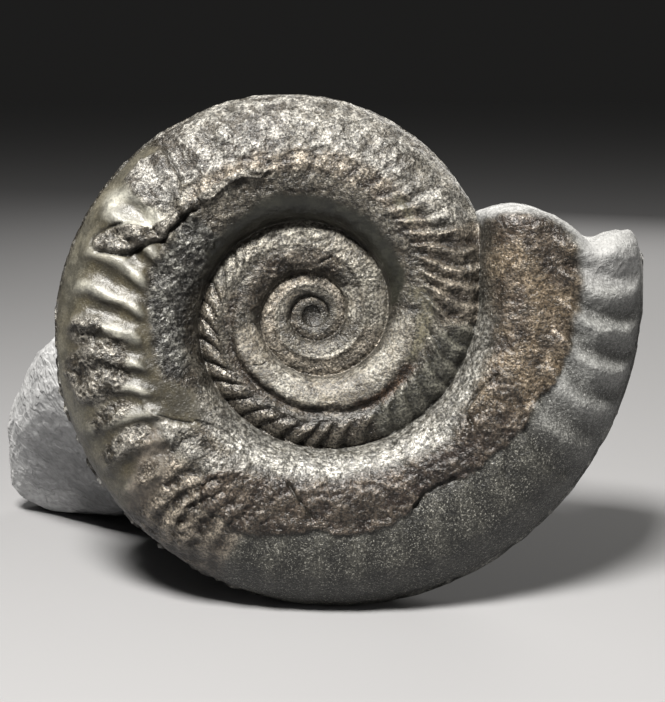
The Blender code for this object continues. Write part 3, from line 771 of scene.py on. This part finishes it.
def new_mesh(name, points, faces, masks):
    mesh = bpy.data.meshes.new(name)
    mesh.from_pydata(points.tolist(), [], [tuple(int(k) for k in f) for f in faces])
    for key, values in masks.items():
        layer = mesh.attributes.new(key, "FLOAT", "POINT")
        layer.data.foreach_set("value", np.asarray(values, np.float32))
    mesh.update()
    item = bpy.data.objects.new(name, mesh)
    bpy.context.scene.collection.objects.link(item)
    return item


def join_points(mesh):
    """Join the points that the solid's mesh has twice, along its hard edges."""
    shape = bmesh.new()
    shape.from_mesh(mesh)
    bmesh.ops.remove_doubles(shape, verts=shape.verts, dist=JOIN_REACH)
    shape.to_mesh(mesh)
    shape.free()


def face_outward(mesh):
    """Drop doubled faces and wind the others outward."""
    mesh.validate()
    shape = bmesh.new()
    shape.from_mesh(mesh)
    bmesh.ops.recalc_face_normals(shape, faces=shape.faces)
    shape.to_mesh(mesh)
    shape.free()


def thin_out(item, triangles):
    count = sum(len(face.vertices) - 2 for face in item.data.polygons)
    thin = item.modifiers.new("fewer faces", "DECIMATE")
    thin.ratio = min(1.0, triangles / count)
    graph = bpy.context.evaluated_depsgraph_get()
    fewer = bpy.data.meshes.new_from_object(item.evaluated_get(graph))
    item.modifiers.clear()
    item.data = fewer


def make_fossil(material):
    coil = FineCoil()
    low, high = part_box("ammonite")
    item = new_mesh("fossil", fit_box(stand(coil.points), low, high), coil.faces, coil.masks)
    thin_out(item, TRIANGLES)
    face_outward(item.data)
    item.data.shade_smooth()
    item.data.materials.append(material)
    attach(item, "root")
    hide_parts("ammonite")


class Nodes:
    """Short calls for the shader nodes of one material or group."""

    def __init__(self, tree):
        self.tree = tree

    def add(self, kind, **settings):
        node = self.tree.nodes.new(kind)
        for key, value in settings.items():
            setattr(node, key, value)
        return node

    def put(self, socket, value):
        if isinstance(value, bpy.types.NodeSocket):
            self.tree.links.new(value, socket)
        else:
            socket.default_value = value

    def mask(self, name):
        return self.add("ShaderNodeAttribute", attribute_name=name).outputs["Fac"]

    def place(self):
        return self.add("ShaderNodeTexCoord").outputs["Object"]

    def noise(self, place, scale, detail=4, roughness=0.6, kind="FBM"):
        node = self.add("ShaderNodeTexNoise", noise_type=kind)
        self.put(node.inputs["Vector"], place)
        self.put(node.inputs["Scale"], scale)
        node.inputs["Detail"].default_value = detail
        node.inputs["Roughness"].default_value = roughness
        return node.outputs["Fac"]

    def cells(self, place, scale):
        node = self.add("ShaderNodeTexVoronoi")
        self.put(node.inputs["Vector"], place)
        self.put(node.inputs["Scale"], scale)
        return node.outputs["Distance"]

    def math(self, what, a, b=0.0):
        node = self.add("ShaderNodeMath", operation=what)
        self.put(node.inputs[0], a)
        self.put(node.inputs[1], b)
        return node.outputs[0]

    def step(self, value, low, high, out_low=0.0, out_high=1.0):
        node = self.add("ShaderNodeMapRange", interpolation_type="SMOOTHSTEP")
        for socket, v in zip(node.inputs, (value, low, high, out_low, out_high)):
            self.put(socket, v)
        return node.outputs[0]

    def mixed(self, kind, factor, a, b, **settings):
        """Two colours or two values mixed; kind is that of their sockets."""
        node = self.add("ShaderNodeMix", **settings)
        self.put(node.inputs["Factor"], factor)
        pair = [s for s in node.inputs if s.type == kind and s.name in ("A", "B")]
        for socket, value in zip(pair, (a, b)):
            self.put(socket, value)
        return [s for s in node.outputs if s.type == kind][0]

    def mix(self, factor, a, b):
        return self.mixed("RGBA", factor, a, b, data_type="RGBA")

    def blend(self, factor, a, b):
        return self.mixed("VALUE", factor, a, b, data_type="FLOAT")

    def toned(self, colour, value):
        """The colour made darker or lighter by a value around 1."""
        return self.mixed("RGBA", 1.0, colour, value, data_type="RGBA", blend_type="MULTIPLY")

    def part(self, mask, share):
        """A mask weakened to a share of itself."""
        return self.math("MULTIPLY", mask, share)

    def tint(self, colour, mask, share, to):
        """The colour moved towards another by a share of a mask."""
        return self.mix(self.part(mask, share), colour, to)

    def bump(self, height, distance, strength=1.0, normal=None):
        node = self.add("ShaderNodeBump")
        node.inputs["Distance"].default_value = distance
        self.put(node.inputs["Strength"], strength)
        self.put(node.inputs["Height"], height)
        if normal is not None:
            self.put(node.inputs["Normal"], normal)
        return node.outputs["Normal"]


def rgb(r, g, b):
    return (r, g, b, 1.0)


def make_grain_group():
    """Grains and pits of weathered stone: a fine speckle, a coarser mottle and a pitted height."""
    group = bpy.data.node_groups.new("Stone grain", "ShaderNodeTree")
    group.interface.new_socket("Grain Scale", in_out="INPUT", socket_type="NodeSocketFloat")
    group.interface.new_socket("Mottle Scale", in_out="INPUT", socket_type="NodeSocketFloat")
    for name in ("Speckle", "Mottle", "Height"):
        group.interface.new_socket(name, in_out="OUTPUT", socket_type="NodeSocketFloat")
    n = Nodes(group)
    source, result = n.add("NodeGroupInput"), n.add("NodeGroupOutput")
    place = n.place()
    fine = n.noise(place, source.outputs["Grain Scale"], 2, 0.6)
    mottle = n.noise(place, source.outputs["Mottle Scale"], 4, 0.6)
    pits = n.cells(place, n.math("MULTIPLY", source.outputs["Grain Scale"], 0.6))
    n.put(result.inputs["Speckle"], n.step(fine, 0.54, 0.66))
    n.put(result.inputs["Mottle"], n.step(mottle, 0.35, 0.65))
    n.put(result.inputs["Height"], n.math("ADD", fine, n.math("MULTIPLY", n.step(pits, 0.0, 0.5), 0.5)))
    return group


def make_flake_group():
    """Thin flakes lying over each other, as flat steps with crisp edges; Crevice is 1 at the foot of each
    step, where it paints shade.
    """
    group = bpy.data.node_groups.new("Thin flakes", "ShaderNodeTree")
    for name in ("Flake Scale", "Layers"):
        group.interface.new_socket(name, in_out="INPUT", socket_type="NodeSocketFloat")
    for name in ("Height", "Crevice"):
        group.interface.new_socket(name, in_out="OUTPUT", socket_type="NodeSocketFloat")
    n = Nodes(group)
    source, result = n.add("NodeGroupInput"), n.add("NodeGroupOutput")
    smooth = n.noise(n.place(), source.outputs["Flake Scale"], 3, 0.65)
    raised = n.math("MULTIPLY", smooth, source.outputs["Layers"])
    level = n.math("FLOOR", raised)
    within = n.math("SUBTRACT", raised, level)
    edge = n.step(within, 0.0, 0.3)
    n.put(result.inputs["Height"], n.math("DIVIDE", n.math("ADD", level, edge), source.outputs["Layers"]))
    n.put(result.inputs["Crevice"], n.math("SUBTRACT", 1.0, n.step(within, 0.05, 0.3)))
    return group


def use_grain(n, groups, grain_scale, mottle_scale):
    node = n.add("ShaderNodeGroup", node_tree=groups["grain"])
    node.inputs["Grain Scale"].default_value = grain_scale
    node.inputs["Mottle Scale"].default_value = mottle_scale
    return node.outputs


def use_flakes(n, groups, flake_scale, layers):
    node = n.add("ShaderNodeGroup", node_tree=groups["flakes"])
    node.inputs["Flake Scale"].default_value = flake_scale
    node.inputs["Layers"].default_value = layers
    return node.outputs


def new_material(name):
    material = bpy.data.materials.new(name)
    material.use_nodes = True
    return material, Nodes(material.node_tree), material.node_tree.nodes["Principled BSDF"]


def make_fossil_material(groups):
    material, n, shader = new_material("fossil shell")
    place = n.place()
    fine = use_grain(n, groups, 3000, 260)
    coarse = use_grain(n, groups, 1000, 75)
    patchy = use_grain(n, groups, 500, 28)
    flakes = use_flakes(n, groups, 420, 12)
    creased = n.noise(place, 800, 2.5, 0.6, "RIDGED_MULTIFRACTAL")
    grit = n.step(n.noise(place, 1700, 2, 0.7), 0.40, 0.60, 0.40, 1.60)
    # sparkle: painted glints, lighter colour on the ridges of the creased bump
    sparkle = n.step(creased, 0.3, 1.3)
    blotches = n.step(fine["Mottle"], 0.0, 1.0, 1.15, 0.62)
    blotches = n.blend(n.part(n.mask("mould"), 0.7), blotches, 1.0)
    blotches = n.blend(n.part(n.mask("outer"), 0.5), blotches, 0.9)
    # high: lighter on the tops of the fine relief and on the bump's ridges, darker in the flake crevices;
    # partly pale mineral on the tops, partly painted highlight, and painted shade in the crevices
    high = n.blend(0.55, n.step(n.mask("fine"), -0.14, 0.14), sparkle)
    high = n.math("MULTIPLY", high, n.step(flakes["Crevice"], 0.0, 1.0, 1.0, 0.1))
    # Colours mixed by crest are lighter on the rib crests and ring rims and darker between the ribs: painted
    # highlight and painted shade
    crest = n.mask("crest")
    unrolled = n.add("ShaderNodeCombineXYZ")
    n.put(unrolled.inputs[0], n.part(n.mask("along"), 0.18))
    n.put(unrolled.inputs[1], n.mask("across"))
    streak = n.step(n.noise(unrolled.outputs[0], 1.6, 5, 0.65), 0.36, 0.64)

    shell_high = n.blend(0.45, high, crest)
    shell = n.mix(shell_high, rgb(0.015, 0.013, 0.010), rgb(0.225, 0.212, 0.180))
    shell = n.tint(shell, coarse["Mottle"], 0.4, rgb(0.050, 0.041, 0.030))

    crust = n.mix(high, rgb(0.034, 0.030, 0.025), rgb(0.41, 0.40, 0.372))
    crust = n.tint(crust, patchy["Mottle"], 0.55, rgb(0.115, 0.108, 0.092))
    silver = n.mix(high, rgb(0.030, 0.026, 0.020), rgb(0.27, 0.255, 0.225))

    calcite = n.mix(n.step(crest, 0.35, 1.0), rgb(0.022, 0.0185, 0.010), rgb(0.195, 0.190, 0.163))
    calcite = n.mix(n.step(n.mask("share"), 0.74, 0.90), calcite, rgb(0.058, 0.055, 0.044))
    calcite = n.tint(calcite, coarse["Mottle"], 0.4, rgb(0.042, 0.034, 0.018))
    # Paler rims and insides of the ringed hollows: pale stone, with a painted highlight on the rims
    calcite = n.tint(calcite, n.mask("ring"), 0.7, rgb(0.27, 0.265, 0.232))
    calcite = n.tint(calcite, fine["Speckle"], 0.25, rgb(0.15, 0.145, 0.122))

    gold = n.mix(n.step(coarse["Mottle"], 0.3, 1.0, 0.0, 0.6),
                 rgb(0.014, 0.010, 0.008), rgb(0.036, 0.027, 0.020))
    gold = n.tint(gold, n.mask("gilded"), 0.6, rgb(0.098, 0.074, 0.047))
    gold = n.tint(gold, high, n.blend(n.mask("gilded"), 0.40, 0.62), rgb(0.185, 0.155, 0.118))

    speckled = n.mix(n.step(crest, 0.1, 0.9), rgb(0.011, 0.0107, 0.009), rgb(0.027, 0.0262, 0.022))
    speckled = n.tint(speckled, fine["Speckle"], 0.7, rgb(0.20, 0.195, 0.172))
    mould = n.mix(crest, rgb(0.052, 0.052, 0.049), rgb(0.165, 0.166, 0.160))
    mould = n.tint(mould, fine["Speckle"], 0.6, rgb(0.27, 0.27, 0.262))
    limestone = n.mix(high, rgb(0.17, 0.17, 0.167), rgb(0.38, 0.382, 0.378))
    limestone = n.tint(limestone, coarse["Mottle"], 0.6, rgb(0.24, 0.24, 0.238))
    satin = n.mix(streak, rgb(0.045, 0.042, 0.035), rgb(0.185, 0.180, 0.165))
    # Painted glints on the satin wall
    satin = n.tint(satin, sparkle, 0.4, rgb(0.22, 0.215, 0.20))
    creamy = n.mix(streak, rgb(0.075, 0.069, 0.056), rgb(0.185, 0.178, 0.158))
    creamy = n.tint(creamy, coarse["Mottle"], 0.5, rgb(0.085, 0.070, 0.050))
    creamy = n.tint(creamy, fine["Mottle"], 0.5, rgb(0.065, 0.052, 0.036))
    browned = n.mix(n.blend(0.35, high, crest), rgb(0.013, 0.009, 0.006), rgb(0.27, 0.236, 0.190))
    olive = n.mix(n.blend(0.45, crest, high), rgb(0.010, 0.0095, 0.007), rgb(0.105, 0.102, 0.084))
    glossy = n.mix(n.blend(0.35, crest, high), rgb(0.008, 0.0065, 0.005), rgb(0.088, 0.078, 0.063))

    rust = n.mix(high, rgb(0.018, 0.012, 0.008), rgb(0.085, 0.052, 0.032))
    tan = n.mix(high, rgb(0.040, 0.036, 0.024), rgb(0.115, 0.105, 0.075))
    pitted = n.mix(high, rgb(0.018, 0.017, 0.015), rgb(0.17, 0.168, 0.152))

    colour = shell
    # The wall at the top that faces down is painted almost black: painted shade
    layers = (("pitted", pitted), ("crust", crust),
              ("creases", browned), ("shaded_wall", rgb(0.016, 0.016, 0.012)), ("calcite", calcite),
              ("wrinkled", silver), ("tongue", silver), ("outer", speckled), ("dark_brown", browned),
              ("ridge", crust), ("satin", satin), ("mould", mould), ("sheet", gold), ("stone", limestone),
              ("cream", creamy), ("olive", olive), ("glossy", glossy), ("rust", rust), ("tan", tan),
              ("beads", rgb(0.42, 0.41, 0.38)))
    for name, layer in layers:
        colour = n.mix(n.mask(name), colour, layer)
    tone = grit
    for name, share in (("calcite", 0.75), ("shaded_wall", 0.75), ("stone", 0.65), ("mould", 0.50)):
        tone = n.blend(n.part(n.mask(name), share), tone, 1.0)
    shade = n.step(n.mask("shade"), 0.0, 1.0, 1.0, 0.35)
    colour = n.toned(colour, n.math("MULTIPLY", n.math("MULTIPLY", tone, blotches), shade))
    colour = n.tint(colour, n.mask("sheet_edge"), 0.25, rgb(0.01, 0.009, 0.007))
    # Painted shade along the sunken cracks and at the foot of the steps
    colour = n.tint(colour, n.mask("crack_shade"), 0.85, rgb(0.008, 0.007, 0.005))
    n.put(shader.inputs["Base Color"], colour)

    gloss, metal, strength = 0.38, 0.30, 1.0
    finishes = (("crust", 0.42, 0.12, 1.0), ("calcite", 0.46, 0.0, 0.35), ("wrinkled", 0.36, 0.3, 1.0),
                ("shaded_wall", 0.30, 0.2, 0.35), ("outer", 0.45, 0.1, 0.6), ("satin", 0.38, 0.3, 0.6),
                ("mould", 0.60, 0.0, 0.7), ("cream", 0.48, 0.0, 0.8), ("sheet", 0.36, 0.3, 0.8),
                ("tan", 0.45, 0.0, 0.6), ("olive", 0.42, 0.2, 0.7), ("stone", 0.75, 0.0, 0.8),
                ("glossy", 0.24, 0.45, 0.8))
    for name, rough, metallic, bumpy in finishes:
        mask = n.mask(name)
        gloss = n.blend(mask, gloss, rough)
        metal = n.blend(mask, metal, metallic)
        strength = n.blend(mask, strength, bumpy)
    gloss = n.blend(n.part(fine["Speckle"], 0.35), gloss, 0.24)
    n.put(shader.inputs["Roughness"], gloss)
    n.put(shader.inputs["Metallic"], metal)

    normal = n.bump(flakes["Height"], 0.0010, strength)
    normal = n.bump(creased, 0.00028, strength, normal)
    normal = n.bump(fine["Height"], 0.00016, strength, normal)
    n.put(shader.inputs["Normal"], normal)
    return material


def read_vectors(mesh, what):
    values = np.empty(len(mesh.vertices) * 3)
    mesh.vertices.foreach_get(what, values)
    return values.reshape(-1, 3)


def make_rock(groups):
    """The lump behind, as its solid with a finer surface."""
    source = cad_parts["matrix_rock"]
    item = bpy.data.objects.new("matrix", source.data.copy())
    join_points(item.data)
    item.matrix_world = source.matrix_world
    bpy.context.scene.collection.objects.link(item)
    finer = item.modifiers.new("finer", "SUBSURF")
    finer.subdivision_type = "SIMPLE"
    finer.levels = finer.render_levels = ROCK_CUTS
    graph = bpy.context.evaluated_depsgraph_get()
    mesh = bpy.data.meshes.new_from_object(item.evaluated_get(graph))
    item.modifiers.clear()
    item.data = mesh
    points, normals = read_vectors(mesh, "co") / MM, read_vectors(mesh, "normal")
    d = ROCK_LUMPS[0] * layered_noise(points, ROCK_LUMPS[1], 201, 3)
    d = d + ROCK_CREASES[0] * creased_noise(points * (1, 1, 3), ROCK_CREASES[1], 211, 3)
    d = d * fade(points[:, 2], *ROCK_FOOT)
    points = (points + normals * (d - ROCK_SINK)[:, None]) * MM
    low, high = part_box("matrix_rock")
    points = fit_box(points, low, high)
    mesh.vertices.foreach_set("co", points.ravel())
    mesh.update()
    mesh.shade_smooth()
    mesh.materials.clear()
    material, n, shader = new_material("matrix limestone")
    stone = use_grain(n, groups, 900, 60)
    flakes = use_flakes(n, groups, 60, 14)
    dust = n.noise(n.place(), 400, 4, 0.7)
    spot = n.add("ShaderNodeSeparateXYZ")
    n.put(spot.inputs[0], n.place())
    colour = n.mix(stone["Mottle"], rgb(0.26, 0.262, 0.266), rgb(0.40, 0.402, 0.405))
    # Painted shadow: the rock's lower right, beside the shell, made almost black where the shell's shadow
    # falls on it
    painted_shadow = n.math("MULTIPLY", n.step(spot.outputs["X"], -0.078, -0.060),
                     n.step(spot.outputs["Z"], 0.0, 0.045, 1.0, 0.0))
    colour = n.tint(colour, painted_shadow, 0.9, rgb(0.035, 0.035, 0.036))
    # Painted shade in the flake crevices
    colour = n.tint(colour, flakes["Crevice"], 0.12, rgb(0.10, 0.10, 0.102))
    colour = n.toned(colour, n.step(dust, 0.35, 0.65, 0.78, 1.12))
    n.put(shader.inputs["Base Color"], colour)
    n.put(shader.inputs["Roughness"], n.blend(stone["Speckle"], 0.85, 0.7))
    n.put(shader.inputs["Normal"], n.bump(stone["Height"], 0.0002, 1.0, n.bump(flakes["Height"], 0.003)))
    mesh.materials.append(material)
    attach(item, "root")
    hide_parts("matrix_rock")


def make_floor():
    corners = [(x * FLOOR_HALF, y * FLOOR_HALF, 0) for x, y in ((-1, -1), (1, -1), (1, 1), (-1, 1))]
    mesh = bpy.data.meshes.new("floor")
    mesh.from_pydata(corners, [], [(0, 1, 2, 3)])
    floor = bpy.data.objects.new("floor", mesh)
    floor.location.z = -FLOOR_DROP
    bpy.context.scene.collection.objects.link(floor)
    material, n, shader = new_material("floor")
    shader.inputs["Base Color"].default_value = rgb(0.20, 0.20, 0.205)
    shader.inputs["Roughness"].default_value = 0.8
    mesh.materials.append(material)


def area_light(name, place, target, size, power):
    light = bpy.data.lights.new(name, "AREA")
    light.shape = "RECTANGLE"
    light.size, light.size_y = size
    light.energy = power
    light.color = LIGHT_COLOUR
    item = bpy.data.objects.new(name, light)
    item.location = place
    item.rotation_euler = (Vector(target) - Vector(place)).to_track_quat("-Z", "Y").to_euler()
    bpy.context.scene.collection.objects.link(item)


def make_lights():
    world = bpy.data.worlds.new("studio")
    bpy.context.scene.world = world
    world.use_nodes = True
    n = Nodes(world.node_tree)
    background = world.node_tree.nodes["Background"]
    seen = n.add("ShaderNodeLightPath").outputs["Is Camera Ray"]
    n.put(background.inputs["Color"], n.mix(seen, rgb(0.040, 0.0395, 0.038), rgb(0.0123, 0.0121, 0.0118)))
    background.inputs["Strength"].default_value = 1.0
    for light in LIGHTS:
        area_light(*light)


def make_camera():
    data = bpy.data.cameras.new("camera")
    data.sensor_fit = "HORIZONTAL"
    data.sensor_width = SENSOR_WIDTH
    data.lens = FOCAL_PIXELS / IMAGE_SIZE[0] * SENSOR_WIDTH
    data.clip_start = 0.01
    camera = bpy.data.objects.new("camera", data)
    turn = Euler((math.pi / 2 - CAMERA_PITCH, 0, 0)).to_matrix()
    across = (COIL_PIXEL[0] - IMAGE_SIZE[0] / 2) / FOCAL_PIXELS
    up = (IMAGE_SIZE[1] / 2 - COIL_PIXEL[1]) / FOCAL_PIXELS
    camera.location = Vector(COIL_PLACE) - turn @ (Vector((across, up, -1)) * CAMERA_DISTANCE)
    camera.rotation_euler = turn.to_euler()
    bpy.context.scene.collection.objects.link(camera)
    bpy.context.scene.camera = camera
    bpy.context.scene.view_settings.view_transform = "Standard"


def main():
    make_camera()
    groups = {"grain": make_grain_group(), "flakes": make_flake_group()}
    make_fossil(make_fossil_material(groups))
    make_rock(groups)
    make_floor()
    make_lights()


main()
